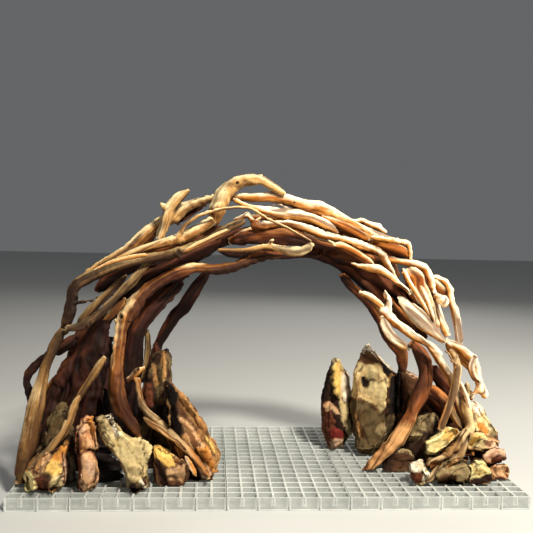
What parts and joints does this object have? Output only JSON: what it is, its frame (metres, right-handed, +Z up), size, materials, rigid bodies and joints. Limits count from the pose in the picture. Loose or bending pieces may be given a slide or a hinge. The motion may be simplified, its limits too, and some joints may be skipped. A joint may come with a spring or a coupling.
{
  "type": "aquarium driftwood centerpiece",
  "caption": "Driftwood arch of many bare twisted limbs spanning between two rock piles, standing on a flat plate of clipped plastic grid panels.",
  "frame": {"origin": "under the middle of the plate, on the surface it rests on", "axes": "+X to the right along the plate's long side, +Y from front to back, +Z up"},
  "size_m": [0.51, 0.27, 0.3347],
  "materials": {
    "milky_plastic": "milky translucent, lightly scuffed",
    "pale_wood": "bare weathered driftwood",
    "honey_wood": "bare weathered driftwood",
    "brown_wood": "bare weathered driftwood",
    "dark_wood": "bare weathered driftwood",
    "grey_wood": "bare weathered driftwood",
    "cream_stone": "rough broken rock, petrified-wood look",
    "ochre_stone": "rough broken rock, petrified-wood look",
    "yellow_stone": "rough broken rock, petrified-wood look",
    "peach_stone": "rough broken rock, petrified-wood look",
    "umber_stone": "rough broken rock, petrified-wood look"
  },
  "bodies": {
    "root": {"plate_panel_1": "milky_plastic", "plate_panel_2": "milky_plastic", "plate_panel_3": "milky_plastic", "plate_panel_4": "milky_plastic", "plate_panel_5": "milky_plastic", "shoulder_limb": "honey_wood", "outer_left_leg": "brown_wood", "crooked_outer_limb": "dark_wood", "grey_crossing_limb": "grey_wood", "upper_left_limb": "honey_wood", "antler_limb": "honey_wood", "back_left_limb": "honey_wood", "crown_loop": "honey_wood", "ridge_limb": "pale_wood", "second_ridge_limb": "pale_wood", "mid_ridge_limb": "pale_wood", "centre_leg_limb": "honey_wood", "hook_limb": "honey_wood", "inner_dark_limb": "brown_wood", "left_inner_limb": "dark_wood", "olive_back_limb": "brown_wood", "dark_bulb_limb": "dark_wood", "underside_limb": "dark_wood", "dark_arch_limb": "dark_wood", "rear_leg": "dark_wood", "rear_stick": "grey_wood", "pale_front_leg": "honey_wood", "thin_left_front_limb": "honey_wood", "broad_trunk": "dark_wood", "corner_limb": "pale_wood", "outer_loop_limb": "honey_wood", "fan_limb": "honey_wood", "torn_slab_limb": "pale_wood", "front_white_limb": "pale_wood", "inner_leg_limb": "brown_wood", "front_big_leg": "brown_wood", "right_thin_leg": "honey_wood", "gnarled_end_limb": "pale_wood", "right_low_limb": "brown_wood", "bright_patch_limb": "pale_wood", "left_corner_rock": "ochre_stone", "left_olive_slab": "umber_stone", "left_split_rock": "peach_stone", "left_star_rock": "cream_stone", "left_streaked_slab": "ochre_stone", "left_yellow_rock": "yellow_stone", "left_tall_slab": "umber_stone", "right_front_slab": "ochre_stone", "right_small_tall_rock": "umber_stone", "right_back_rock": "umber_stone", "right_olive_rock": "umber_stone", "right_brown_rock": "umber_stone", "right_yellow_rock": "yellow_stone", "right_triangle_rock": "cream_stone", "right_base_rock": "umber_stone", "right_star_rock": "yellow_stone", "right_edge_rock": "peach_stone", "right_pink_rock": "peach_stone", "right_beige_rock": "yellow_stone", "right_tall_slab": "ochre_stone"}
  },
  "joints": []
}
